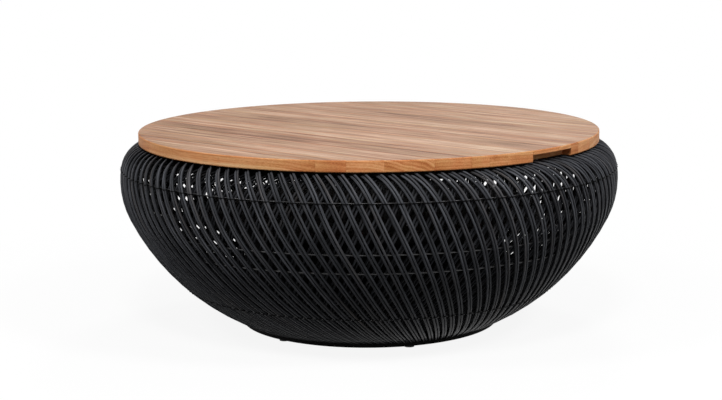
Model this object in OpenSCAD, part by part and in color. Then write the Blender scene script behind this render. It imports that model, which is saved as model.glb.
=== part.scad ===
// Low round garden table: a bowl of crossing double canes under a lift-off lid of teak staves.
// Millimetres. The origin is on the floor under the middle, +Z is up, the finger notch faces -Y.

/* [Bowl] */
// Widest diameter, over the outer canes
bowl_d = 900; // [840:5:960]
// Height of the widest line above the floor
widest_h = 268; // [262:1:274]
// Height of the highest line of the outer canes, just under the lid
crest_h = 335; // [328:0.5:345]
// Bend radius of the belly, over the outer canes
belly_r = 167; // [160:1:180]
// Bend radius of the lower bowl, over the outer canes
lower_r = 399; // [390:1:420]
// Height at which the lower bowl meets the base ring
foot_h = 5; // [5:0.5:8]

/* [Canes] */
// Diameter of one cane
cane_d = 4.4; // [3.8:0.1:4.8]
// Gap between the two canes of a pair
pair_gap = 0.3; // [0.2:0.1:0.6]
// Double canes in one set; each layer has thirteen sets
pairs_in_set = 10; // [8:1:10]
// Lean of the canes from upright on the widest line
cane_lean = 24.5; // [20:0.5:27]
// Turn of the bend plane where the belly passes into the lower bowl
lower_twist = -8.5; // [-14:0.5:-6]
// Turn of the bend plane where the belly passes into the shoulder
shoulder_twist = 18; // [12:1:30]
// Length of one binding
wrap_l = 5; // [4:0.5:6]
// Thickness of a binding
wrap_wall = 0.4; // [0.3:0.05:0.5]

/* [Tie rings] */
// Diameter of the tie ring wire
tie_d = 2.2; // [1.8:0.1:3]
// Room between a tie ring and the bindings on both sides
tie_room = 0.5; // [0.4:0.05:0.8]
// Height of the top tie ring, where belly and shoulder meet
upper_tie_h = 291; // [288:0.5:294]
// Height of the second tie ring, where belly and lower bowl meet
middle_tie_h = 205; // [200:1:210]
// Height of the third tie ring
third_tie_h = 169; // [150:1:180]
// Height of the lowest tie ring
low_tie_h = 74; // [60:1:100]

/* [Rim and base] */
// Diameter of the round rim hoop that carries the lid
hoop_d = 16; // [15:0.5:18]
// Width of the flat base ring
base_ring_w = 22; // [20:1:30]
// Height of the upper face of the floor panel
floor_h = 212; // [195:1:220]
// Diameter of the floor panel
floor_d = 620; // [600:5:700]
// Thickness of the floor panel and of the board in the base ring
panel_t = 12; // [9:0.5:15]
// Thickness of the drum wall between base ring and floor panel
drum_t = 12; // [11:0.5:14]
// Depth of the drum in the base ring's groove
drum_sink = 8; // [6:0.5:10]
// Glides under the base ring, and screws down into the drum above them
glide_count = 6; // [4:1:8]
// Diameter of a glide
glide_d = 18; // [14:1:20]
// Height of a glide
glide_h = 3; // [2.5:0.5:5]

/* [Lid] */
// Diameter of the lid
lid_d = 831; // [825:1:860]
// Thickness of the lid
lid_t = 20; // [18:0.5:26]
// Width of the bevel along the lid's upper and lower edge
edge_bevel = 1.5; // [1:0.25:3]
// How far a stave joint may lie off an even spacing
stave_vary = 14; // [0:1:16]
// Width of the finger notch
notch_w = 106; // [90:1:120]
// Height of the finger notch, open below
notch_h = 13; // [10:0.5:14]
// Depth of the finger notch
notch_deep = 18; // [14:0.5:24]
// Distance of each batten from the middle of the lid
batten_y = 200; // [170:5:220]
// Width of a batten
batten_w = 50; // [40:1:60]
// Thickness of a batten
batten_t = 18; // [14:0.5:22]

/* [Screws] */
// Diameter of the screw shanks
screw_d = 4; // [3:0.5:4.5]
// Diameter of the screw heads
screw_head_d = 8; // [7:0.5:9]
// Height of the screw heads
screw_head_t = 2.4; // [2:0.2:3]
// Depth of the screws in the far piece
screw_bite = 10; // [8:0.5:12]

/* [Hidden] */
set_count = 13;
stave_count = 18;
tie_count = 4;

function two_digits(i) = str(i < 10 ? "0" : "", i);
function outer_name(i) = str("outer_canes_", two_digits(i));
function inner_name(i) = str("inner_canes_", two_digits(i));
function tie_name(i) = str("tie_ring_", i);
function stave_name(i) = str("stave_", two_digits(i));

cane_colour = "#2b2d31";
tie_colour = "#55585c";
frame_colour = "#1f2022";
teak_colour = "#b98a66";
batten_colour = "#9a7050";
screw_colour = "silver";
glide_colour = "dimgray";

// Small gap at seats, hole room round a shank, and how far a cut or a shank runs past a face.
seat = 0.35;
hole_room = 0.3;
cut = 1;
// How far two bindings sink into each other, and how much thinner the inner one is.
wrap_overlap = 1;
wrap_step = 0.15;
wrap_run = 2 * wrap_l - wrap_overlap;

pair_half = (cane_d + pair_gap) / 2;
layer_gap = cane_d + 2 * wrap_wall + tie_d + 2 * tie_room;
outer_inset = cane_d / 2;
inner_inset = outer_inset + layer_gap;
middle_inset = (outer_inset + inner_inset) / 2;

// A bend is given by a frame f = [point, direction of travel, direction to the bend's centre].
function at(f, r, turn) = f[0] + r * (sin(turn) * f[1] + (1 - cos(turn)) * f[2]);
function heading(f, turn) = cos(turn) * f[1] + sin(turn) * f[2];
function along(f, r, turn) = [at(f, r, turn), heading(f, turn), cos(turn) * f[2] - sin(turn) * f[1]];
function ahead(f, l) = [f[0] + l * f[1], f[1], f[2]];
function twisted(f, a) = [f[0], f[1], cos(a) * f[2] + sin(a) * cross(f[1], f[2])];
function reversed(f) = [f[0], -f[1], f[2]];
function reach(p) = norm([p[0], p[1]]);

// Turn at which a bend reaches a height.
function turn_to(f, r, h) =
  let (a = r * f[1][2], b = r * f[2][2], c = h - f[0][2], s = sign(a))
  atan2(s * b, s * a) + s * asin((c - b) / norm([a, b]));

// Turn, between low and high, at which a bend has come in to a distance from the axis.
function turn_in(f, r, goal, low, high, rounds = 30) =
  let (mid = (low + high) / 2)
  rounds == 0 ? mid
  : reach(at(f, r, mid)) > goal ? turn_in(f, r, goal, mid, high, rounds - 1)
  : turn_in(f, r, goal, low, mid, rounds - 1);

// Bend radius and turn with which a bend just levels out at a height.
function crest_r(f, h) = (h - f[0][2]) / (norm([f[1][2], f[2][2]]) + f[2][2]);
function crest_turn(f) = atan2(f[1][2], -f[2][2]);

// The bends of a double cane, as far inside the bowl's skin as inset; way is 1 or -1 for its lean.
function widest(inset, way) =
  [[bowl_d / 2 - inset, 0, widest_h], [0, -way * sin(cane_lean), cos(cane_lean)], [-1, 0, 0]];
function up_turn(inset, way) =
  turn_to(widest(inset, way), belly_r - inset, upper_tie_h - wrap_run / 2);
function down_turn(inset, way) =
  turn_to(reversed(widest(inset, way)), belly_r - inset, middle_tie_h);
function belly_top(inset, way) = along(widest(inset, way), belly_r - inset, up_turn(inset, way));
function belly_low(inset, way) =
  along(reversed(widest(inset, way)), belly_r - inset, down_turn(inset, way));
function shoulder(inset, way) =
  twisted(ahead(belly_top(inset, way), wrap_run), way * shoulder_twist);
function lower(inset, way) =
  twisted(ahead(belly_low(inset, way), wrap_run), way * lower_twist);

// Where the outer canes end at the rim and at the foot; the inner canes end at the same reach.
// At the rim a pair lies tilted, so one of its rods stands higher than its middle by pair_rise.
outer_shoulder = shoulder(outer_inset, 1);
rim_turn = crest_turn(outer_shoulder);
rim_axes = along(outer_shoulder, 0, rim_turn);
rim_side = cos(shoulder_twist) * cross(rim_axes[1], rim_axes[2]) + sin(shoulder_twist) * rim_axes[2];
pair_rise = pair_half * abs(rim_side[2]);
level_h = crest_h - pair_rise;
rim_end = along(outer_shoulder, crest_r(outer_shoulder, level_h - outer_inset), rim_turn);
rim_reach = reach(rim_end[0]);
outer_lower = lower(outer_inset, 1);
foot_turn = turn_to(outer_lower, lower_r - outer_inset, foot_h);
foot_end = along(outer_lower, lower_r - outer_inset, foot_turn);
foot_reach = reach(foot_end[0]);

inner_lower = lower(inner_inset, -1);
inner_foot_turn = turn_in(inner_lower, lower_r - inner_inset, foot_reach, 0, 90);
inner_foot_h = at(inner_lower, lower_r - inner_inset, inner_foot_turn)[2];

// A point inside the outer canes at a height, where a tie ring rests on both rods of every pair.
function tie_seat(h) =
  let (turn = turn_to(outer_lower, lower_r - outer_inset, h))
  let (f = along(outer_lower, lower_r - outer_inset, turn))
  let (across = cross([-f[0][1], f[0][0], 0], f[1]))
  let (inward = -sign(across * [f[0][0], f[0][1], 0]) * across / norm(across))
  let (side = cos(lower_twist) * cross(f[1], f[2]) + sin(lower_twist) * f[2])
  f[0] + inward * ((cane_d + tie_d) / 2 + seat + pair_half * abs(inward * side));

// The upper tie rings run between the bindings of both layers, the lower ones rest on the outer canes.
tie_points = [
  ahead(belly_top(middle_inset, 1), wrap_run / 2)[0],
  belly_low(middle_inset, 1)[0],
  tie_seat(third_tie_h),
  tie_seat(low_tie_h)
];

// The hoop meets the slanting rim ends; the base ring meets the sloping foot ends.
hoop_h = level_h - middle_inset;
rim_skew = abs(cross([rim_end[0][0], rim_end[0][1]], [rim_end[1][0], rim_end[1][1]])) / rim_reach;
hoop_half = sqrt(pow(hoop_d / 2, 2) - pow(layer_gap / 2, 2));
hoop_r = rim_reach - (pair_half + cane_d / 2) * rim_skew - hoop_half - seat;
base_r = foot_reach - cane_d / 2 * abs(foot_end[1][2]) - seat;
base_top = inner_foot_h + cane_d;
base_ring_t = base_top - glide_h;
drum_r = base_r - base_ring_w / 2;
drum_h = base_top - drum_sink;
drum_l = floor_h - panel_t - drum_h;

lid_h = max(hoop_h + hoop_d / 2, crest_h) + seat;
batten_room = 6;
batten_end = hoop_r - hoop_d / 2 - batten_room;
batten_l = 2 * sqrt(pow(batten_end, 2) - pow(batten_y + batten_w / 2, 2));
end_distance = 15;

// Stave joints swing about an even spacing, as staves sawn from mixed widths do.
// The finger notch takes up the ends of two staves, so their outer joints lie at its sides.
stave_pitch = lid_d / stave_count;
stave_wave = 84.3;
stave_phase = 41.1;
notch_stave = 9;
function stave_joint(i) =
  i == 0 ? -lid_d / 2
  : i == stave_count ? lid_d / 2
  : i == notch_stave - 1 ? -notch_w / 2
  : i == notch_stave + 1 ? notch_w / 2
  : (i - stave_count / 2) * stave_pitch + stave_vary * sin(stave_wave * i + stave_phase);
function stave_middle(i) = (stave_joint(i - 1) + stave_joint(i)) / 2;
screwed_staves =
  [for (i = [1 : stave_count]) if (abs(stave_middle(i)) < batten_l / 2 - end_distance) i];

// Places children with X away from a bend's centre, Y along the travel and the origin at the centre.
module in_bend(f, r) {
  x = -f[2];
  y = f[1];
  z = cross(x, y);
  p = f[0] + r * f[2];
  multmatrix([
    [x[0], y[0], z[0], p[0]],
    [x[1], y[1], z[1], p[1]],
    [x[2], y[2], z[2], p[2]],
    [0, 0, 0, 1]
  ])
    children();
}

// The two rods of a pair, swept through a bend; tilt lays the pair flat on the bowl's skin.
module rods(r, turn, tilt) {
  rotate_extrude(angle = turn, $fn = 96)
    for (s = [-pair_half, pair_half])
      translate([r + s * sin(tilt), s * cos(tilt)])
        circle(d = cane_d, $fn = 24);
}

// Outline of a binding round a pair.
module wrap_outline(wall) {
  square([cane_d + 2 * wall, 2 * cane_d + pair_gap + 2 * wall], center = true);
}

// A binding at the start of a bend, just before its rods.
module start_wrap(r, tilt, wall) {
  translate([r, 0, 0])
    rotate([0, tilt, 0])
      rotate([90, 0, 0])
        linear_extrude(wrap_l)
          wrap_outline(wall);
}

// A binding at the end of a bend, just past its rods.
module end_wrap(r, turn, wall) {
  rotate_extrude(start = turn, angle = wrap_l / r * 180 / PI, $fn = 96)
    translate([r, 0])
      wrap_outline(wall);
}

// One double cane: belly, lower bowl and shoulder, joined by bindings.
module double_cane(inset, way) {
  belly = reversed(belly_low(inset, way));
  belly_turn = up_turn(inset, way) + down_turn(inset, way);
  in_bend(belly, belly_r - inset) {
    rods(belly_r - inset, belly_turn, 0);
    start_wrap(belly_r - inset, 0, wrap_wall);
    end_wrap(belly_r - inset, belly_turn, wrap_wall);
  }
  low = lower(inset, way);
  low_r = lower_r - inset;
  low_turn = turn_in(low, low_r, foot_reach, 0, 90);
  in_bend(low, low_r) {
    rods(low_r, low_turn, -way * lower_twist);
    start_wrap(low_r, -way * lower_twist, wrap_wall - wrap_step);
  }
  top = shoulder(inset, way);
  top_r = crest_r(top, level_h - inset);
  top_turn = turn_in(top, top_r, rim_reach, 0, crest_turn(top));
  in_bend(top, top_r) {
    rods(top_r, top_turn, -way * shoulder_twist);
    start_wrap(top_r, -way * shoulder_twist, wrap_wall - wrap_step);
  }
}

// Every thirteenth double cane of a layer, so that neighbours in a set stand well apart.
module cane_set(i, inset, way) {
  for (k = [0 : pairs_in_set - 1])
    rotate([0, 0, 360 * (k + (i - 1) / set_count) / pairs_in_set])
      double_cane(inset, way);
}

module outer_canes(i) {
  color(cane_colour)
    cane_set(i, outer_inset, 1);
}

module inner_canes(i) {
  color(cane_colour)
    cane_set(i, inner_inset, -1);
}

module tie_ring(i) {
  color(tie_colour)
    rotate_extrude($fn = 180)
      translate([reach(tie_points[i - 1]), tie_points[i - 1][2]])
        circle(d = tie_d, $fn = 16);
}

module rim_hoop() {
  color(frame_colour)
    rotate_extrude($fn = 180)
      translate([hoop_r, hoop_h])
        circle(d = hoop_d, $fn = 32);
}

// Places children over each glide, at a height.
module at_glides(h) {
  for (k = [0 : glide_count - 1])
    rotate([0, 0, 360 * k / glide_count])
      translate([drum_r, 0, h])
        children();
}

// A ring wall as thick as the drum, from the drum's lower edge up, with room on both sides.
module drum_wall(l, room) {
  translate([0, 0, drum_h])
    difference() {
      cylinder(h = l, r = drum_r + drum_t / 2 + room, $fn = 180);
      translate([0, 0, -cut])
        cylinder(h = l + 2 * cut, r = drum_r - drum_t / 2 - room, $fn = 180);
    }
}

module base_ring() {
  color(frame_colour)
    difference() {
      translate([0, 0, glide_h])
        cylinder(h = base_ring_t, r = base_r, $fn = 180);
      translate([0, 0, glide_h - cut])
        cylinder(h = base_ring_t + 2 * cut, r = base_r - base_ring_w, $fn = 180);
      drum_wall(drum_sink + cut, hole_room);
    }
}

module base_board() {
  color(frame_colour)
    translate([0, 0, glide_h])
      cylinder(h = panel_t, r = base_r - base_ring_w - seat, $fn = 180);
}

module drum() {
  color(frame_colour)
    difference() {
      drum_wall(drum_l, 0);
      at_glides(floor_h)
        screw_hole(panel_t);
    }
}

module floor_panel() {
  color(frame_colour)
    difference() {
      translate([0, 0, floor_h - panel_t])
        cylinder(h = panel_t, d = floor_d, $fn = 180);
      at_glides(floor_h)
        screw_hole(panel_t);
    }
}

module floor_screws() {
  color(screw_colour)
    at_glides(floor_h)
      screw(panel_t);
}

module glides() {
  color(glide_colour)
    at_glides(0)
      cylinder(h = glide_h, d = glide_d, $fn = 48);
}

// A screw with its head above the origin, going down through a piece of thickness t.
module screw(t) {
  cylinder(h = screw_head_t, d = screw_head_d, $fn = 32);
  translate([0, 0, -t - screw_bite])
    cylinder(h = t + screw_bite + cut, d = screw_d, $fn = 24);
}

// Room for that screw's shank.
module screw_hole(t) {
  translate([0, 0, -t - screw_bite - hole_room])
    cylinder(h = t + screw_bite + hole_room + cut, d = screw_d + 2 * hole_room, $fn = 24);
}

// Places children at each lid screw of one batten, head down on the batten's underside.
module at_lid_screws(y) {
  for (i = screwed_staves)
    translate([stave_middle(i), y, lid_h - batten_t])
      rotate([180, 0, 0])
        children();
}

module lid_disc() {
  translate([0, 0, lid_h])
    rotate_extrude($fn = 180)
      polygon([
        [0, 0],
        [lid_d / 2 - edge_bevel, 0],
        [lid_d / 2, edge_bevel],
        [lid_d / 2, lid_t - edge_bevel],
        [lid_d / 2 - edge_bevel, lid_t],
        [0, lid_t]
      ]);
}

module stave(i) {
  left = stave_joint(i - 1);
  front = i == notch_stave || i == notch_stave + 1 ? notch_deep : 0;
  color(teak_colour)
    difference() {
      intersection() {
        lid_disc();
        translate([left, front - lid_d / 2, lid_h])
          cube([stave_joint(i) - left, lid_d, lid_t]);
      }
      for (y = [-batten_y, batten_y])
        at_lid_screws(y)
          screw_hole(batten_t);
    }
}

// The staves' ends above the finger notch.
module notch_lip() {
  color(teak_colour)
    intersection() {
      lid_disc();
      translate([-notch_w / 2, -lid_d / 2, lid_h + notch_h])
        cube([notch_w, notch_deep, lid_t - notch_h]);
    }
}

module batten(y) {
  color(batten_colour)
    difference() {
      translate([-batten_l / 2, y - batten_w / 2, lid_h - batten_t])
        cube([batten_l, batten_w, batten_t]);
      at_lid_screws(y)
        screw_hole(batten_t);
    }
}

module lid_screws() {
  color(screw_colour)
    for (y = [-batten_y, batten_y])
      at_lid_screws(y)
        screw(batten_t);
}

for (i = [1 : stave_count])
  stave(i);
notch_lip();
batten(-batten_y);  // batten_front
batten(batten_y);  // batten_back
lid_screws();
for (i = [1 : set_count])
  outer_canes(i);
for (i = [1 : set_count])
  inner_canes(i);
for (i = [1 : tie_count])
  tie_ring(i);
rim_hoop();
base_ring();
base_board();
drum();
floor_panel();
floor_screws();
glides();
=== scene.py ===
"""Low round garden table: a bowl of crossing black double canes under a lid of teak staves."""
import math

import bpy
import numpy as np
from mathutils import Matrix, Vector


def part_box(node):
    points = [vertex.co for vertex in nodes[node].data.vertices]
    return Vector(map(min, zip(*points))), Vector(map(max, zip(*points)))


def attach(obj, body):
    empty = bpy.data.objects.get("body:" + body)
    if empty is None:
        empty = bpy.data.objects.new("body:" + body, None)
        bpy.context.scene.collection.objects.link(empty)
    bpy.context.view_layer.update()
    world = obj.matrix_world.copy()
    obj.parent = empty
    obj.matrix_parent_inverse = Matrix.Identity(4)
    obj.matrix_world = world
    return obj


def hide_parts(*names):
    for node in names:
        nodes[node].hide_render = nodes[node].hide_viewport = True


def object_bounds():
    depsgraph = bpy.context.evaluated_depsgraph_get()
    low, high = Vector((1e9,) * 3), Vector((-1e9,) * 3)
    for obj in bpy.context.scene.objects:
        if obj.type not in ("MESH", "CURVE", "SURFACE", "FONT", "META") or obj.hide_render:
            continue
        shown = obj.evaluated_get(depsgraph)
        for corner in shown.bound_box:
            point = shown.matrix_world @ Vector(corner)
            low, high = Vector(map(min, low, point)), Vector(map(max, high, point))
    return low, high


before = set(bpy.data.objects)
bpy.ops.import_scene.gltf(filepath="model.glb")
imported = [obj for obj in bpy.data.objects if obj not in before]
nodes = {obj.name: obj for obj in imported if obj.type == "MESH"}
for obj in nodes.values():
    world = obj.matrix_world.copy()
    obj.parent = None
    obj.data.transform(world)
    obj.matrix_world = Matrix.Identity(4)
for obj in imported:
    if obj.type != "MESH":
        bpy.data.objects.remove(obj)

cad_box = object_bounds()
SEED = 41
draw = np.random.default_rng(SEED)

# Sizes of the solids, in metres and radians, from the frame or from the same design values.
SET_COUNT = 13
PAIRS_IN_SET = 10
PAIR_COUNT = SET_COUNT * PAIRS_IN_SET
STAVE_COUNT = 18
TIE_COUNT = 4
CANE_R = 0.0022
TIE_R = 0.0011
PAIR_HALF = 0.00238
LAYER_GAP = 0.0084
WIDEST_H = 0.268
BELLY_R = 0.167
LOWER_R = 0.399
CANE_LEAN = math.radians(24.5)
LOWER_TWIST = math.radians(-8.5)
SHOULDER_TWIST = math.radians(18)
BOWL_R = (cad_box[1][0] - cad_box[0][0]) / 2
LID_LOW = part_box("stave_09")[0].z
LID_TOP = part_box("stave_09")[1].z
LID_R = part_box("stave_09")[1].y
UPPER_TIE_H = (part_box("tie_ring_1")[0].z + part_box("tie_ring_1")[1].z) / 2
MIDDLE_TIE_H = (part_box("tie_ring_2")[0].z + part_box("tie_ring_2")[1].z) / 2
HOOP_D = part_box("rim_hoop")[1].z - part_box("rim_hoop")[0].z
HOOP_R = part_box("rim_hoop")[1].x - HOOP_D / 2
HOOP_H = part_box("rim_hoop")[1].z - HOOP_D / 2
# From the lid's underside down to the crest of a pair, and from the base ring out to a cane's end.
CREST_DROP = 0.00195
FOOT_GAP = 0.0008
CREST_H = LID_LOW - CREST_DROP
FOOT_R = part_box("base_ring")[1].x + FOOT_GAP

# Rods: sides of the section, points along each bend, and thickness as shares of the cane's.
ROD_SIDES = 7
SHOULDER_POINTS = 9
BELLY_UP_POINTS = 3
BELLY_DOWN_POINTS = 5
LOWER_POINTS = 11
THICKNESS = (0.95, 1.03)
# Halvings that find where a bend has come in to the base ring.
HALVINGS = 30
# How far a rod sinks into the rim hoop, and the least length that is added to reach it.
HOOP_BITE = 0.0006
LEAST_STUB = 0.001
# Slow wander of a pair and parting of its rods: stations along the cane and spread in metres. Both fade
# towards the foot, down to the least share.
WANDER_STATIONS = 6
WANDER = 0.0021
PARTING_STATIONS = 7
PARTING = 0.0006
BELL_SHARPNESS = 0.75
LEAST_SHARE = 0.12
# Painted shade by height: the cane's level under the bowl, and the heights between which it rises to 1. The
# inner layer loses a share of it under the rim, as a painted shadow of the lid, between two more heights.
UNDER_SHADE_LEVEL = 0.6
UNDER_HEIGHTS = (0.03, 0.22)
RIM_SHADE_LOSS = 0.75
RIM_HEIGHTS = (0.292, 0.318)
# Binding strands: how high they ride on a rod's face and how far they dip between two rods, as shares of
# their radius, and their tone.
STRAND_R = 0.0008
STRAND_SIDES = 5
STRAND_RIDE = 0.7
STRAND_DIP = 0.4
STRAND_TONE = 0.2

# Lid: its rounded edge and the rows on it, the eased arrises, half a joint, and the finger notch.
EDGE_R = 0.0022
EDGE_ROWS = (0, 0.08, 0.3, 0.62, 1)
ARRIS = 0.0005
JOINT_HALF = 0.00012
COLUMN_TURN = 0.012
LEAST_COLUMNS = 3
NOTCH_STAVES = (9, 10)
NOTCH_DEEP = 0.018
NOTCH_H = 0.013
NOTCH_EASE = 0.0007
# Centre of a stave's growth rings: spread about the stave's middle, and lowest and highest height.
HEART_SPREAD = 0.035
HEART_HEIGHTS = (-0.09, 0.22)

# Colours, from deep to bright, and how much light a face throws back like a mirror.
OUTER_CANE = ((0.011, 0.0117, 0.0135), (0.125, 0.13, 0.146))
# The inner layer is the outer cane made darker: painted shade behind the outer layer.
INNER_CANE_SHADED = ((0.006, 0.0063, 0.0072), (0.082, 0.085, 0.096))
BINDING = ((0.003, 0.003, 0.003), (0.008, 0.008, 0.009))
BROWNING = (1.5, 1.1, 0.75)
WIRE = (0.035, 0.035, 0.037)
WIRE_DULL = 0.5
# Also the finish of the drum and floor panel, dark solids set inside the bowl as painted shade.
BOARD_AND_SHADE_FILL = ((0.0015, 0.0015, 0.0016), (0.006, 0.0058, 0.0056))
TEAK_TOP = [(0.40, (0.125, 0.052, 0.024)), (0.465, (0.296, 0.157, 0.089)),
            (0.525, (0.41, 0.245, 0.157)), (0.60, (0.575, 0.39, 0.277))]
TEAK_SIDE = [(0.38, (0.42, 0.125, 0.038)), (0.46, (0.63, 0.242, 0.088)),
             (0.54, (0.79, 0.375, 0.16)), (0.64, (0.91, 0.55, 0.285))]
TEAK_TINT = [(0.35, (1.03, 0.97, 0.94)), (0.5, (1, 1, 1)), (0.66, (0.97, 1.02, 0.96))]
CANE_SHINE = 0.03
BOARD_SHINE = 0.06
TEAK_SHINE = 0.1
# Rod patterns are moved apart by the rod's tone times this.
TONE_SHIFT = 9.0
# Teak: growth rings to the metre across and along, their drift in metres, how far a stave's shade moves
# them, what the shade adds to the colour, and the share of that on the edge. PORE_SHARE is the pores' depth
# in the colour, and PORE_RISE in the relief.
RINGS_ACROSS = 210.0
RINGS_ALONG = 2.4
RING_DRIFT = 0.09
RING_SHIFT = 40.0
SHADE_SPAN = 0.085
EDGE_SHADE = 0.7
PORE_SHARE = 0.75
PORE_RISE = 0.6
BATTEN_SHADE = 0.3
BATTEN_HEART = (0.1, 0.2)

# The photograph's frame in pixels, and where its camera stood.
IMAGE_W, IMAGE_H = 722, 400
CENTRE_X, CENTRE_Y = 369.476, 234.023
FOCAL_PIXELS = 1715.99
SENSOR_W = 36.0
VIEW_TURN = math.radians(-47.6)
VIEW_RAISE = math.radians(10.859)
VIEW_ROLL = math.radians(-0.391)
VIEW_AIM_H = 0.1575
VIEW_DISTANCE = 3.1545
# Floor: half its width, its level for bounced light and for the eye, and how far the eye sees it lifted to
# white near the table. The lift grows to 1 between two distances, each halved.
FLOOR_HALF = 30.0
FLOOR_BOUNCE = 0.22
FLOOR_SEEN = 0.95
FLOOR_LIFT = 0.9
LIFT_SCALE = 0.5
LIFT_NEAR, LIFT_FAR = 0.22, 0.6
WORLD_LIGHT = 0.1
LAMP_AIM_H = 0.2
# Lamps: name, power in watts, size, and place with X to the eye's right, -Y towards the eye and Z up.
LAMPS = [
    ("key", 74.0, 0.8, (2.3, -1.8, 3.1)),
    ("fill", 46.0, 0.8, (-2.4, -1.5, 3.1)),
    ("front", 78.0, 0.8, (-0.2, -2.8, 3.4)),
    ("back", 42.0, 0.8, (0.6, 2.8, 3.0)),
]


# Meshes

def new_object(name, data):
    """A new object in the scene."""
    obj = bpy.data.objects.new(name, data)
    bpy.context.scene.collection.objects.link(obj)
    return obj


def piece(name, points, faces, finish, body):
    """Make an object from points and faces, smooth shaded, riding on a body with a finish."""
    mesh = bpy.data.meshes.new(name)
    mesh.from_pydata(points.reshape(-1, 3).tolist(), [], faces)
    mesh.polygons.foreach_set("use_smooth", np.ones(len(mesh.polygons), dtype=bool))
    mesh.materials.append(finish)
    obj = new_object(name, mesh)
    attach(obj, body)
    return obj


def set_uv(obj, uv):
    """Give every face corner, in face order, its place along and around the piece."""
    layer = obj.data.uv_layers.new(name="run")
    layer.data.foreach_set("uv", np.ascontiguousarray(uv, dtype=np.float32).ravel())


def set_number(obj, name, numbers):
    """Store one number from 0 to 1 on every point, which shifts the finish there."""
    layer = obj.data.attributes.new(name, "FLOAT", "POINT")
    layer.data.foreach_set("value", np.ascontiguousarray(numbers, dtype=np.float32).ravel())


def unit(v):
    """Vectors at length one."""
    return v / np.linalg.norm(v, axis=-1, keepdims=True)


def tube_mesh(paths, across, radius, sides, closed=False):
    """Round tubes along paths of shape (count, rings, 3).

    With T the path's direction and N the part of across that is square to it, corner j of a ring lies at
    path + radius (cos a N + sin a T x N) with a = 2 pi j / sides. An open tube gets a flat cap at each end.
    Returns points (count, rings, sides, 3), faces, and per corner (distance along, turn round).
    """
    count, rings = paths.shape[:2]
    if closed:
        along = np.roll(paths, -1, 1) - np.roll(paths, 1, 1)
    else:
        along = np.gradient(paths, axis=1)
    along = unit(along)
    normal = unit(across - np.sum(across * along, -1, keepdims=True) * along)
    other = np.cross(along, normal)
    a = 2 * np.pi * np.arange(sides) / sides
    radius = np.broadcast_to(radius, (count, rings))[..., None, None]
    ring = normal[:, :, None] * np.cos(a)[:, None] + other[:, :, None] * np.sin(a)[:, None]
    points = paths[:, :, None] + radius * ring
    spans = rings if closed else rings - 1
    i = np.arange(spans)[:, None]
    j = np.arange(sides)[None, :]
    k, m = (i + 1) % rings, (j + 1) % sides
    one = np.stack([i * sides + j, i * sides + m, k * sides + m, k * sides + j], -1).reshape(-1, 4)
    first = np.arange(count)[:, None, None] * rings * sides
    faces = (one[None] + first).reshape(-1, 4).tolist()
    step = np.linalg.norm(np.diff(paths, axis=1), axis=-1)
    run = np.concatenate([np.zeros((count, 1)), np.cumsum(step, 1)], 1)
    far = np.concatenate([run[:, 1:], run[:, -1:] + step[:, -1:]], 1)[:, :spans]
    near = run[:, :spans]
    low, high = j / sides, (j + 1) / sides
    grid = (count, spans, sides)
    corners = [(near, low), (near, high), (far, high), (far, low)]
    uv = np.stack([np.stack([np.broadcast_to(distance[:, :, None], grid),
                             np.broadcast_to(turn[None], grid)], -1) for distance, turn in corners], 3)
    uv = uv.reshape(-1, 2)
    if not closed:
        starts = first[..., 0] + np.arange(sides)[::-1]
        ends = first[..., 0] + (rings - 1) * sides + np.arange(sides)
        caps = np.concatenate([starts, ends])
        faces += caps.tolist()
        uv = np.concatenate([uv, np.zeros((caps.size, 2))])
    return points, faces, uv


# Finishes

def new_finish(name):
    """A new node material, its node tree and its shader."""
    material = bpy.data.materials.new(name)
    material.use_nodes = True
    tree = material.node_tree
    return material, tree, tree.nodes["Principled BSDF"]


def put(tree, kind, values=None, **settings):
    """Add a node, set its plain settings, and fill its inputs by name with numbers or links."""
    node = tree.nodes.new(kind)
    for key, value in settings.items():
        setattr(node, key, value)
    for key, value in (values or {}).items():
        fill(tree, node.inputs[key], value)
    return node


def fill(tree, socket, value):
    """Link a socket to another node's output, or set it to a plain value."""
    if isinstance(value, bpy.types.NodeSocket):
        tree.links.new(value, socket)
    else:
        socket.default_value = value


def ramp(tree, factor, stops):
    """A colour ramp: stops are (place, colour) pairs."""
    node = put(tree, "ShaderNodeValToRGB", {"Fac": factor})
    elements = node.color_ramp.elements
    for _ in range(len(stops) - 2):
        elements.new(0.5)
    for element, (place, colour) in zip(elements, stops):
        element.position = place
        element.color = (*colour, 1)
    return node.outputs["Color"]


def grey(v):
    """A neutral colour."""
    return (v, v, v)


def levels(tree, factor, *stops):
    """A ramp of neutral levels: stops are (place, level) pairs."""
    return ramp(tree, factor, [(place, grey(level)) for place, level in stops])


def mix(tree, factor, a, b, blend="MIX"):
    """Mix two colours."""
    node = put(tree, "ShaderNodeMix", data_type="RGBA", blend_type=blend)
    fill(tree, node.inputs[0], factor)
    for socket, value in ((node.inputs[6], a), (node.inputs[7], b)):
        fill(tree, socket, (*value, 1) if isinstance(value, tuple) else value)
    return node.outputs[2]


def maths(tree, operation, a, b=0.0):
    """One step of arithmetic on one or two numbers."""
    node = put(tree, "ShaderNodeMath", operation=operation)
    fill(tree, node.inputs[0], a)
    fill(tree, node.inputs[1], b)
    return node.outputs[0]


def weighted(tree, shares, more):
    """Sum of numbers, each times its weight, and of a plain number."""
    total = more
    for number, weight in shares:
        total = maths(tree, "ADD", maths(tree, "MULTIPLY", number, weight), total)
    return total


def own_place(tree):
    """Places on a piece, in metres in the table's frame."""
    return put(tree, "ShaderNodeTexCoord").outputs["Object"]


def number_on(tree, name):
    """A number that is stored on the piece's points."""
    return put(tree, "ShaderNodeAttribute", attribute_name=name).outputs["Fac"]


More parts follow.
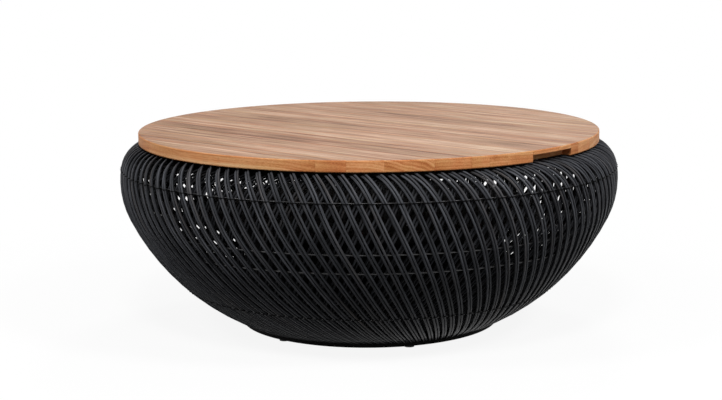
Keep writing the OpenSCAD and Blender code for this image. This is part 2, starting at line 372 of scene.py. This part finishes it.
def noise(tree, place, scale, location=(0, 0, 0), detail=4.0, roughness=0.55):
    """Soft noise over places that are stretched by scale and moved by location."""
    node = put(tree, "ShaderNodeMapping", {"Vector": place, "Scale": scale, "Location": location})
    values = {"Vector": node.outputs["Vector"], "Scale": 1.0, "Detail": detail, "Roughness": roughness}
    return put(tree, "ShaderNodeTexNoise", values).outputs["Fac"]


def bump(tree, shader, height, strength, distance):
    """Raise the surface by a height."""
    values = {"Height": height, "Strength": strength, "Distance": distance}
    node = put(tree, "ShaderNodeBump", values)
    tree.links.new(node.outputs["Normal"], shader.inputs["Normal"])


def coat(tree, shader, colour, roughness):
    """Give a shader its colour and its roughness."""
    tree.links.new(colour, shader.inputs["Base Color"])
    tree.links.new(roughness, shader.inputs["Roughness"])


def black_cane(name, deep, bright):
    """Black-stained cane: fine streaks along its length, a tone of its own, and painted shade round each rod.

    The turn round a rod is 0.75 on the face that looks out of the bowl, so facing out = 0.5 - 0.5 sin(2 pi
    turn); the sides and the seam between a pair's rods are darkened from it as painted shade. The rod's tone
    and its painted shade by height are numbers on its points.
    """
    material, tree, shader = new_finish(name)
    run = put(tree, "ShaderNodeUVMap", uv_map="run").outputs["UV"]
    parts = put(tree, "ShaderNodeSeparateXYZ", {"Vector": run}).outputs
    tone = number_on(tree, "tone")
    shifted = put(tree, "ShaderNodeCombineXYZ", {
        "X": parts["X"], "Y": parts["Y"], "Z": maths(tree, "MULTIPLY", tone, TONE_SHIFT)}).outputs["Vector"]
    streaks = noise(tree, shifted, (26, 9, 4), detail=5.0, roughness=0.6)
    patches = noise(tree, shifted, (7, 1.2, 3), detail=2.0)
    stain = ramp(tree, streaks, [(0.3, deep), (0.72, bright)])
    mottle = maths(tree, "ADD", maths(tree, "MULTIPLY", tone, 0.55), maths(tree, "MULTIPLY", patches, 0.45))
    lift = levels(tree, mottle, (0.2, 0.55), (0.85, 1.3))
    toned = mix(tree, 1.0, stain, lift, "MULTIPLY")
    warm = levels(tree, patches, (0.55, 0), (0.85, 0.3))
    brown = tuple(c * f for c, f in zip(bright, BROWNING))
    # Painted shade round each rod: the sides and the seam between a pair's two rods are darkened, the outward
    # face kept light.
    wave = maths(tree, "SINE", maths(tree, "MULTIPLY", parts["Y"], 2 * math.pi))
    facing_out = maths(tree, "SUBTRACT", 0.5, maths(tree, "MULTIPLY", wave, 0.5))
    rod_shade_painted = levels(tree, facing_out, (0.0, 0.2), (0.55, 0.3), (0.82, 0.85), (1.0, 1.0))
    face = mix(tree, 1.0, mix(tree, warm, toned, brown), rod_shade_painted, "MULTIPLY")
    # The painted shade number, stored on the points, darkens the colour low on the bowl and under the rim.
    colour = mix(tree, 1.0, face, number_on(tree, "painted_shade"), "MULTIPLY")
    coat(tree, shader, colour, levels(tree, streaks, (0.25, 0.42), (0.8, 0.24)))
    shader.inputs["Specular IOR Level"].default_value = CANE_SHINE
    bump(tree, shader, streaks, 0.35, 0.0004)
    return material


def dark_wire(name, colour):
    """Thin lacquered wire: a satin grey with scuffs."""
    material, tree, shader = new_finish(name)
    scuff = noise(tree, own_place(tree), (60, 60, 60))
    dull = tuple(c * WIRE_DULL for c in colour)
    coat(tree, shader, ramp(tree, scuff, [(0.35, dull), (0.65, colour)]),
         levels(tree, scuff, (0.3, 0.5), (0.7, 0.28)))
    bump(tree, shader, scuff, 0.2, 0.0002)
    return material


def stained_board(name, deep, bright):
    """Black-stained board: open grain along X with a matte face."""
    material, tree, shader = new_finish(name)
    grain = noise(tree, own_place(tree), (8, 260, 260), detail=5.0, roughness=0.6)
    coat(tree, shader, ramp(tree, grain, [(0.3, deep), (0.7, bright)]),
         levels(tree, grain, (0.3, 0.9), (0.7, 0.7)))
    shader.inputs["Specular IOR Level"].default_value = BOARD_SHINE
    bump(tree, shader, grain, 0.3, 0.0005)
    return material


def steel_screw(name):
    """Plain steel screw with a finely mottled face."""
    material, tree, shader = new_finish(name)
    marks = noise(tree, own_place(tree), (900, 900, 900), detail=3.0)
    coat(tree, shader, levels(tree, marks, (0.3, 0.34), (0.7, 0.6)),
         levels(tree, marks, (0.3, 0.45), (0.7, 0.25)))
    shader.inputs["Metallic"].default_value = 1.0
    return material


def black_glide(name):
    """Hard black glide with a scuffed face."""
    material, tree, shader = new_finish(name)
    scuff = noise(tree, own_place(tree), (400, 400, 400), detail=5.0)
    coat(tree, shader, levels(tree, scuff, (0.3, 0.015), (0.75, 0.05)),
         levels(tree, scuff, (0.3, 0.5), (0.7, 0.8)))
    return material


def teak(name, shade, heart, weathered):
    """Teak along Y: growth rings round a far heart, fine streaks, pores, and a paler weathered top.

    shade from 0 to 1 makes the wood dark or light, heart is the rings' centre (x, z) in metres, and weathered
    is 1 for the lid's staves and 0 for a batten. The rings follow the distance from the heart,
    sqrt((x - heart x + drift)^2 + (z - heart z)^2).
    """
    material, tree, shader = new_finish(name)
    place = own_place(tree)
    parts = put(tree, "ShaderNodeSeparateXYZ", {"Vector": place}).outputs
    wander = noise(tree, place, (11, 3.4, 11), (heart[0] * 7, heart[1] * 5, 0), detail=3.0)
    drift = maths(tree, "MULTIPLY", maths(tree, "SUBTRACT", wander, 0.5), RING_DRIFT)
    dx = maths(tree, "ADD", maths(tree, "SUBTRACT", parts["X"], heart[0]), drift)
    dz = maths(tree, "SUBTRACT", parts["Z"], heart[1])
    squares = maths(tree, "ADD", maths(tree, "MULTIPLY", dx, dx), maths(tree, "MULTIPLY", dz, dz))
    band = put(tree, "ShaderNodeCombineXYZ", {
        "X": maths(tree, "MULTIPLY", maths(tree, "SQRT", squares), RINGS_ACROSS),
        "Y": maths(tree, "MULTIPLY", parts["Y"], RINGS_ALONG), "Z": shade * RING_SHIFT}).outputs["Vector"]
    rings = noise(tree, band, (1, 1, 1), detail=3.0, roughness=0.62)
    streaks = noise(tree, place, (620, 9, 620), (shade * 30, 0, 0), detail=5.0, roughness=0.65)
    pores = noise(tree, place, (1300, 38, 1300), (0, shade * 20, 0), detail=2.0)
    patches = noise(tree, place, (13, 2.4, 13), (shade * 11, 0, 3), detail=3.0)
    veins = noise(tree, place, (125, 3.0, 125), (shade * 50, shade * 9, 0), detail=3.0, roughness=0.66)
    flecks = noise(tree, place, (230, 11, 230), (shade * 17, shade * 31, 5), detail=2.0)
    hue = noise(tree, place, (46, 7, 46), (shade * 23, 2, shade * 5), detail=2.0)
    own = (shade - 0.5) * SHADE_SPAN
    face = weighted(tree, [(rings, 0.26), (streaks, 0.2), (veins, 0.3), (flecks, 0.16), (patches, 0.08)], own)
    edge = weighted(tree, [(rings, 0.44), (streaks, 0.24), (patches, 0.32)], own * EDGE_SHADE)
    normal = put(tree, "ShaderNodeNewGeometry").outputs["Normal"]
    up = put(tree, "ShaderNodeSeparateXYZ", {"Vector": normal}).outputs["Z"]
    facing = maths(tree, "MULTIPLY", levels(tree, up, (0.7, 0), (0.97, 1)), weathered)
    both = mix(tree, facing, ramp(tree, edge, TEAK_SIDE), ramp(tree, face, TEAK_TOP))
    wood = mix(tree, 1.0, both, ramp(tree, hue, TEAK_TINT), "MULTIPLY")
    dark = levels(tree, pores, (0.30, 0.6), (0.40, 1))
    coat(tree, shader, mix(tree, PORE_SHARE, wood, dark, "MULTIPLY"),
         levels(tree, streaks, (0.3, 0.62), (0.7, 0.48)))
    shader.inputs["Specular IOR Level"].default_value = TEAK_SHINE
    relief = maths(tree, "ADD", streaks, maths(tree, "MULTIPLY", pores, PORE_RISE))
    bump(tree, shader, relief, 0.25, 0.0005)
    return material


# Canes

def bend(start, radius, turns):
    """Points along a circular bend: turn t lies at point + r (sin t heading + (1 - cos t) inward).

    Returns the points, and for each the heading and the direction to the bend's centre.
    """
    point, heading, inward = start
    t = np.asarray(turns, dtype=float)[:, None]
    places = point + radius * (np.sin(t) * heading + (1 - np.cos(t)) * inward)
    return places, np.cos(t) * heading + np.sin(t) * inward, np.cos(t) * inward - np.sin(t) * heading


def turn_to(start, radius, height):
    """Turn at which a bend reaches a height, from a sin t + b (1 - cos t) = rise."""
    point, heading, inward = start
    a, b, rise = radius * heading[2], radius * inward[2], height - point[2]
    s = math.copysign(1, a)
    return math.atan2(s * b, s * a) + s * math.asin((rise - b) / math.hypot(a, b))


def turn_in(start, radius, goal, high):
    """Turn, up to high, at which a bend has come in to a distance from the axis: found by halving."""
    low = 0.0
    for _ in range(HALVINGS):
        middle = (low + high) / 2
        place = bend(start, radius, [middle])[0][0]
        low, high = (middle, high) if math.hypot(place[0], place[1]) > goal else (low, middle)
    return middle


def last(bent, twist):
    """Start of the next bend: the end of one bend with its bend plane turned by twist about the heading."""
    point, heading, inward = (part[-1] for part in bent)
    return point, heading, math.cos(twist) * inward + math.sin(twist) * np.cross(heading, inward)


def sideways(bent, tilt, sign):
    """Unit vectors from one rod of a pair to the other, laid flat on the bowl's skin."""
    heading, inward = bent[1], bent[2]
    return sign * (math.cos(tilt) * np.cross(-inward, heading) - math.sin(tilt) * inward)


def double_cane(inset, way):
    """Centre line, sideways vectors and heading at the rim of one double cane, from the rim to the foot.

    It is three bends end to end: the belly through the widest line, the shoulder that levels out under
    the lid, and the lower bowl down to the base ring. way is 1 or -1 for the side it leans to.
    """
    lean = np.array([0, -way * math.sin(CANE_LEAN), math.cos(CANE_LEAN)])
    widest = (np.array([BOWL_R - inset, 0, WIDEST_H]), lean, np.array([-1.0, 0, 0]))
    down = (widest[0], -lean, widest[2])
    r = BELLY_R - inset
    up_turn, down_turn = turn_to(widest, r, UPPER_TIE_H), turn_to(down, r, MIDDLE_TIE_H)
    belly_up = bend(widest, r, np.linspace(0, up_turn, BELLY_UP_POINTS))
    belly_down = bend(down, r, np.linspace(0, down_turn, BELLY_DOWN_POINTS))
    shoulder = last(belly_up, way * SHOULDER_TWIST)
    tilt = math.hypot(shoulder[1][2], shoulder[2][2])
    shoulder_r = (CREST_H - inset - shoulder[0][2]) / (tilt + shoulder[2][2])
    crest = math.atan2(shoulder[1][2], -shoulder[2][2])
    over = bend(shoulder, shoulder_r, np.linspace(0, crest, SHOULDER_POINTS))
    lower = last(belly_down, way * LOWER_TWIST)
    foot = turn_in(lower, LOWER_R - inset, FOOT_R, math.pi / 2)
    under = bend(lower, LOWER_R - inset, np.linspace(0, foot, LOWER_POINTS))
    sides = (sideways(over, -way * SHOULDER_TWIST, 1)[::-1], sideways(belly_up, 0, 1)[-2:0:-1],
             sideways(belly_down, 0, -1), sideways(under, -way * LOWER_TWIST, -1)[1:])
    line = (over[0][::-1], belly_up[0][-2:0:-1], belly_down[0], under[0][1:])
    return np.concatenate(line), np.concatenate(sides), over[1][-1]


def meet_hoop(rods, heading):
    """Lengthen both rods at the rim, straight along their heading, until they touch the rim hoop."""
    ends = rods[:, 0]
    reach = np.hypot(ends[:, 0], ends[:, 1])
    half = np.sqrt(np.maximum((HOOP_D / 2) ** 2 - (ends[:, 2] - HOOP_H) ** 2, 0))
    inward = (ends[:, :2] @ heading[:2]) / reach
    more = np.maximum(reach - HOOP_R - half + HOOP_BITE, LEAST_STUB) / -inward
    return np.concatenate([(ends + more[:, None] * heading)[:, None], rods], 1)


def soft_steps(stations, rings, spread):
    """Slow random wander along each cane of a layer: random heights at even stations, blended by bells."""
    at = np.linspace(0, 1, stations)
    s = np.linspace(0, 1, rings)
    bells = np.exp(-((s[None] - at[:, None]) * stations * BELL_SHARPNESS) ** 2)
    return draw.normal(0, spread, (PAIR_COUNT, stations)) @ (bells / bells.sum(0))


def spun(points, turn):
    """Points turned round the Z axis by turn, point by point."""
    c, s = np.cos(turn), np.sin(turn)
    x, y, z = points[..., 0], points[..., 1], points[..., 2]
    return np.stack([c * x - s * y, s * x + c * y, z], -1)


def cane_layer(inset, way):
    """All rods of one layer and their sideways vectors, both of shape (pairs, 2, rings, 3).

    They are one double cane turned round the axis. Each pair also drifts sideways by a slow random wander,
    and its two rods part a little here and there.
    """
    line, sides, heading = double_cane(inset, way)
    rods = np.stack([line - PAIR_HALF * sides, line + PAIR_HALF * sides])
    rods = meet_hoop(rods, heading)
    sides = np.concatenate([sides[:1], sides])
    rings = rods.shape[1]
    reach = np.hypot(rods[0, :, 0], rods[0, :, 1])
    ease = np.clip((reach - FOOT_R) / (BOWL_R - FOOT_R), LEAST_SHARE, 1)
    part = (np.abs(soft_steps(PARTING_STATIONS, rings, PARTING)) * ease)[:, None, :, None]
    sign = np.array([-1.0, 1.0])[:, None, None]
    spread = rods[None] + sign * part * sides
    drift = soft_steps(WANDER_STATIONS, rings, WANDER) * ease / reach
    drift[:, 0] = drift[:, 1]
    turn = (2 * np.pi * np.arange(PAIR_COUNT)[:, None] / PAIR_COUNT + drift)[:, None]
    return spun(spread, turn), spun(np.broadcast_to(sides, spread.shape), turn)


def eased(low, high, value):
    """0 below low, 1 above high, and 3 t^2 - 2 t^3 between."""
    t = np.clip((value - low) / (high - low), 0, 1)
    return t * t * (3 - 2 * t)


def shade_by_height(height, behind):
    """Painted shade on a cane by height: darker under the bowl, and for the inner layer also darker under the
    rim.
    """
    lit_share = UNDER_SHADE_LEVEL + (1 - UNDER_SHADE_LEVEL) * eased(*UNDER_HEIGHTS, height)
    return lit_share * (1 - RIM_SHADE_LOSS * eased(*RIM_HEIGHTS, height)) if behind else lit_share


def dress_layer(kind, inset, way, finish):
    """Replace each set of a layer's solid double canes by its twenty separate rods."""
    rods, sides = cane_layer(inset, way)
    thick = CANE_R * draw.uniform(*THICKNESS, (PAIR_COUNT, 2))
    tone = draw.uniform(0, 1, (PAIR_COUNT, 2))
    rings = rods.shape[2]
    for i in range(SET_COUNT):
        own = slice(i, None, SET_COUNT)
        paths = rods[own].reshape(-1, rings, 3)
        radius = thick[own].reshape(-1, 1)
        points, faces, uv = tube_mesh(paths, sides[own].reshape(-1, rings, 3), radius, ROD_SIDES)
        obj = piece(f"{kind}_rods_{i + 1:02d}", points, faces, finish, "basket")
        set_uv(obj, uv)
        set_number(obj, "tone", np.repeat(tone[own].reshape(-1), rings * ROD_SIDES))
        # Painted shade by height: a rod is darker under the bowl, and an inner rod also under the rim.
        set_number(obj, "painted_shade", shade_by_height(points[..., 2], kind == "inner"))
        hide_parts(f"{kind}_canes_{i + 1:02d}")
    return rods


def at_height(rods, height):
    """Where each rod crosses a height: its turn round the axis, its reach, and the rod's direction there."""
    k = (rods[..., 2] > height).sum(-1)[..., None, None]
    upper = np.take_along_axis(rods, k - 1, 2)[:, :, 0]
    lower = np.take_along_axis(rods, k, 2)[:, :, 0]
    share = ((upper[..., 2] - height) / (upper[..., 2] - lower[..., 2]))[..., None]
    place = upper + share * (lower - upper)
    base = 2 * np.pi * np.arange(PAIR_COUNT)[:, None] / PAIR_COUNT
    turn = base + (np.arctan2(place[..., 1], place[..., 0]) - base + np.pi) % (2 * np.pi) - np.pi
    order = np.argsort(turn, 1)
    turn = np.take_along_axis(turn, order, 1)
    reach = np.take_along_axis(np.hypot(place[..., 0], place[..., 1]), order, 1)
    return turn, reach, unit(lower - upper)


def binding_strand(name, rods, height, tie_r, way, finish):
    """A twined strand round the bowl at a height: over the face of every pair, and back to the tie between.

    Each pair gives six stations: beside its first rod, on that rod's face, between the rods, on the second
    face, beside the second rod and half way to the next pair. On a face the strand's reach is the rod's
    plus its half depth, R / sqrt(1 - dr^2) with dr the outward share of the rod's direction; between pairs
    it lies on the tie ring. way is 1 for the outer layer and -1 for the inner.
    """
    turn, reach, slope = at_height(rods, height)
    out = np.stack([np.cos(turn), np.sin(turn), np.zeros_like(turn)], -1)
    round_it = np.stack([-np.sin(turn), np.cos(turn), np.zeros_like(turn)], -1)
    deep = CANE_R / np.sqrt(1 - np.sum(out * slope, -1) ** 2) + STRAND_R * STRAND_RIDE
    wide = (CANE_R / np.sqrt(1 - np.sum(round_it * slope, -1) ** 2) + STRAND_R) / reach
    face = reach + way * deep
    first, second = turn[:, 0], turn[:, 1]
    after = np.roll(first, -1) + 2 * np.pi * (np.arange(PAIR_COUNT) == PAIR_COUNT - 1)
    turns = np.stack([first - wide[:, 0], first, (first + second) / 2,
                      second, second + wide[:, 1], (second + after) / 2], 1)
    between = face.mean(1) - way * STRAND_R * STRAND_DIP
    low = np.full(PAIR_COUNT, tie_r + way * (TIE_R + STRAND_R))
    r = np.stack([reach[:, 0], face[:, 0], between, face[:, 1], reach[:, 1], low], 1)
    path = np.stack([r * np.cos(turns), r * np.sin(turns), np.full_like(r, height)], -1).reshape(1, -1, 3)
    up = np.broadcast_to(np.array([0, 0, 1.0]), path.shape)
    points, faces, uv = tube_mesh(path, up, STRAND_R, STRAND_SIDES, closed=True)
    obj = piece(name, points, faces, finish, "basket")
    set_uv(obj, uv)
    set_number(obj, "tone", np.full(points.size // 3, STRAND_TONE))
    set_number(obj, "painted_shade", np.ones(points.size // 3))


# Lid

def edge_pull(z, thick):
    """How far the rounded edge of the lid draws in at a height z above its underside: a quarter circle."""
    near = np.maximum(EDGE_R - np.minimum(z, thick - z), 0)
    return EDGE_R - np.sqrt(np.maximum(EDGE_R ** 2 - near ** 2, 0))


def stave_columns(left, right):
    """Places across a stave, evenly spaced round the lid's edge, with a narrow column for each long arris."""
    low, high = math.asin(max(left / LID_R, -1)), math.asin(min(right / LID_R, 1))
    count = max(int((high - low) / COLUMN_TURN), LEAST_COLUMNS)
    even = LID_R * np.sin(np.linspace(low, high, count))
    inner = even[(even > left + ARRIS) & (even < right - ARRIS)]
    return np.concatenate([[left, left + ARRIS], inner, [right - ARRIS, right]])


def stave_mesh(left, right, notched):
    """One stave of the round lid, from x = left to right.

    Its section is a grid of columns x and rows z with the long arrises cut by a small bevel. The section
    runs along Y from end to end, and an end lies at y = sqrt(R(z)^2 - x^2), where R draws in over the
    rounded edges. A notched stave's front end draws in by the finger notch's depth below the notch's height.
    """
    thick = LID_TOP - LID_LOW
    x = stave_columns(left, right)
    rounding = EDGE_R * np.array(EDGE_ROWS)
    z = np.concatenate([rounding, [NOTCH_H - NOTCH_EASE, NOTCH_H], thick - rounding[::-1]])
    bevel = np.where((x == left) | (x == right), ARRIS, 0)[:, None]
    zz = bevel + z * (1 - 2 * bevel / thick)
    reach = LID_R - edge_pull(zz, thick)
    xx = np.clip(np.broadcast_to(x[:, None], zz.shape), -reach, reach)
    end = np.sqrt(reach ** 2 - xx ** 2)
    notch = np.clip((NOTCH_H - zz) / NOTCH_EASE, 0, 1) * NOTCH_DEEP * notched
    front = np.minimum(notch - end, 0)
    points = np.stack([np.stack([xx, y, zz + LID_LOW], -1) for y in (front, end)])
    columns, rows = zz.shape
    size = columns * rows
    n = np.arange(size).reshape(columns, rows)
    cap = np.stack([n[:-1, :-1], n[1:, :-1], n[1:, 1:], n[:-1, 1:]], -1).reshape(-1, 4)
    rim = np.concatenate([n[:, 0], n[-1, 1:], n[-2::-1, -1], n[0, -2:0:-1]])
    after = np.roll(rim, -1)
    skin = np.stack([after, rim, rim + size, after + size], -1)
    return points, cap.tolist() + (cap[:, ::-1] + size).tolist() + skin.tolist()


def dress_lid():
    """Replace every stave by one with eased arrises and its own teak.

    The two notched staves carry the notch's lip, which is a solid of its own.
    """
    for i in range(1, STAVE_COUNT + 1):
        name = f"stave_{i:02d}"
        low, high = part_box(name)
        left = low.x + JOINT_HALF if i > 1 else -LID_R
        right = high.x - JOINT_HALF if i < STAVE_COUNT else LID_R
        points, faces = stave_mesh(left, right, i in NOTCH_STAVES)
        shade = draw.uniform(0, 1)
        heart = ((left + right) / 2 + draw.normal(0, HEART_SPREAD), draw.uniform(*HEART_HEIGHTS))
        obj = piece(f"teak_{name}", points, faces, teak(f"teak_{i:02d}", shade, heart, 1.0), "lid")
        obj.data.polygons.foreach_set("use_smooth", np.zeros(len(obj.data.polygons), dtype=bool))
        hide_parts(*([name, "notch_lip"] if i == NOTCH_STAVES[0] else [name]))


# Stage

def seen_rays(tree):
    """1 for rays of the eye and of mirror-like or clear surfaces, which see the background white, else 0."""
    path = put(tree, "ShaderNodeLightPath").outputs
    other = maths(tree, "MAXIMUM", path["Is Glossy Ray"], path["Is Transmission Ray"])
    return maths(tree, "MAXIMUM", path["Is Camera Ray"], other)


def stage_floor():
    """A wide pale floor that keeps the table's shadow; the eye sees it lifted to white."""
    corners = [(x * FLOOR_HALF, y * FLOOR_HALF, 0) for x, y in ((-1, -1), (1, -1), (1, 1), (-1, 1))]
    mesh = bpy.data.meshes.new("floor")
    mesh.from_pydata(corners, [], [(0, 1, 2, 3)])
    floor = new_object("floor", mesh)
    material, tree, shader = new_finish("white_floor")
    tree.nodes.remove(shader)
    seen = seen_rays(tree)
    colour = mix(tree, seen, grey(FLOOR_BOUNCE), grey(FLOOR_SEEN))
    matte = put(tree, "ShaderNodeBsdfDiffuse", {"Color": colour})
    glow = put(tree, "ShaderNodeEmission", {"Color": (1, 1, 1, 1), "Strength": 1.0})
    far = put(tree, "ShaderNodeVectorMath", {"Vector": own_place(tree)}, operation="LENGTH").outputs["Value"]
    lift = levels(tree, maths(tree, "MULTIPLY", far, LIFT_SCALE), (LIFT_NEAR, FLOOR_LIFT), (LIFT_FAR, 1.0))
    lifted = put(tree, "ShaderNodeMixShader", {"Fac": maths(tree, "MULTIPLY", seen, lift)})
    tree.links.new(matte.outputs[0], lifted.inputs[1])
    tree.links.new(glow.outputs[0], lifted.inputs[2])
    tree.links.new(lifted.outputs[0], tree.nodes["Material Output"].inputs["Surface"])
    mesh.materials.append(material)


def stage_light():
    """White surroundings and four soft lamps.

    The key stands to the right, the fill to the left, one lamp in front and one behind.
    """
    world = bpy.data.worlds.new("studio")
    bpy.context.scene.world = world
    world.use_nodes = True
    tree = world.node_tree
    back = tree.nodes["Background"]
    back.inputs["Color"].default_value = (1, 1, 1, 1)
    strength = maths(tree, "ADD", maths(tree, "MULTIPLY", seen_rays(tree), 1 - WORLD_LIGHT), WORLD_LIGHT)
    tree.links.new(strength, back.inputs["Strength"])
    c, s = math.cos(VIEW_TURN), math.sin(VIEW_TURN)
    for name, power, size, (x, y, z) in LAMPS:
        lamp = bpy.data.lights.new(name, "AREA")
        lamp.energy = power
        lamp.size = size
        at = Vector((x * c - y * s, x * s + y * c, z))
        aim = Vector((0, 0, LAMP_AIM_H)) - at
        turned = aim.to_track_quat("-Z", "Y").to_matrix().to_4x4()
        new_object(name, lamp).matrix_world = Matrix.Translation(at) @ turned


def stage_camera():
    """The camera: a long lens, raised about eleven degrees, aimed at the table's axis with a slight roll."""
    right = Vector((math.cos(VIEW_TURN), math.sin(VIEW_TURN), 0))
    level = Vector((-math.sin(VIEW_TURN), math.cos(VIEW_TURN), 0))
    ahead = level * math.cos(VIEW_RAISE) - Vector((0, 0, math.sin(VIEW_RAISE)))
    up = level * math.sin(VIEW_RAISE) + Vector((0, 0, math.cos(VIEW_RAISE)))
    x = right * math.cos(VIEW_ROLL) + up * math.sin(VIEW_ROLL)
    y = up * math.cos(VIEW_ROLL) - right * math.sin(VIEW_ROLL)
    at = Vector((0, 0, VIEW_AIM_H)) - ahead * VIEW_DISTANCE
    turned = Matrix((x, y, -ahead)).transposed().to_4x4()
    lens = bpy.data.cameras.new("camera")
    lens.sensor_width = SENSOR_W
    lens.lens = FOCAL_PIXELS * SENSOR_W / IMAGE_W
    lens.shift_x = (IMAGE_W / 2 - CENTRE_X) / IMAGE_W
    lens.shift_y = (CENTRE_Y - IMAGE_H / 2) / IMAGE_W
    camera = new_object("camera", lens)
    camera.matrix_world = Matrix.Translation(at) @ turned
    bpy.context.scene.camera = camera


stage_camera()
stage_light()
stage_floor()

cane = black_cane("black_cane", *OUTER_CANE)
# The inner layer's darker colours are painted shade, not a different cane.
inner_cane_shaded = black_cane("black_cane_inner_shaded", *INNER_CANE_SHADED)
strand = black_cane("binding_black", *BINDING)
outer_rods = dress_layer("outer", CANE_R, 1, cane)
inner_rods = dress_layer("inner", CANE_R + LAYER_GAP, -1, inner_cane_shaded)
for place, ring in (("upper", "tie_ring_1"), ("lower", "tie_ring_4")):
    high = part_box(ring)[1]
    for layer, rods, way in (("outer", outer_rods, 1), ("inner", inner_rods, -1)):
        binding_strand(f"binding_{place}_{layer}", rods, high.z - TIE_R, high.x - TIE_R, way, strand)
dress_lid()

# Solids that stay as they are and get a finish.
board_and_shade_fill = stained_board("stained_board", *BOARD_AND_SHADE_FILL)
wire = dark_wire("tie_wire", WIRE)
screw = steel_screw("screw_steel")
glide = black_glide("glide_black")
batten = teak("batten_teak", BATTEN_SHADE, BATTEN_HEART, 0.0)
# drum and floor_panel are dark solids inside the bowl that stand in for the shade there: painted shade.
# rim_hoop, base_ring and base_board are the black-stained frame.
finishes = {"rim_hoop": board_and_shade_fill, "base_ring": board_and_shade_fill, "base_board": board_and_shade_fill, "drum": board_and_shade_fill, "floor_panel": board_and_shade_fill,
            "glides": glide, "floor_screws": screw, "lid_screws": screw,
            "batten_front": batten, "batten_back": batten}
finishes.update({f"tie_ring_{i}": wire for i in range(1, TIE_COUNT + 1)})
for name, finish in finishes.items():
    for slot in nodes[name].material_slots:
        slot.material = finish

bpy.context.scene.view_settings.view_transform = "Standard"
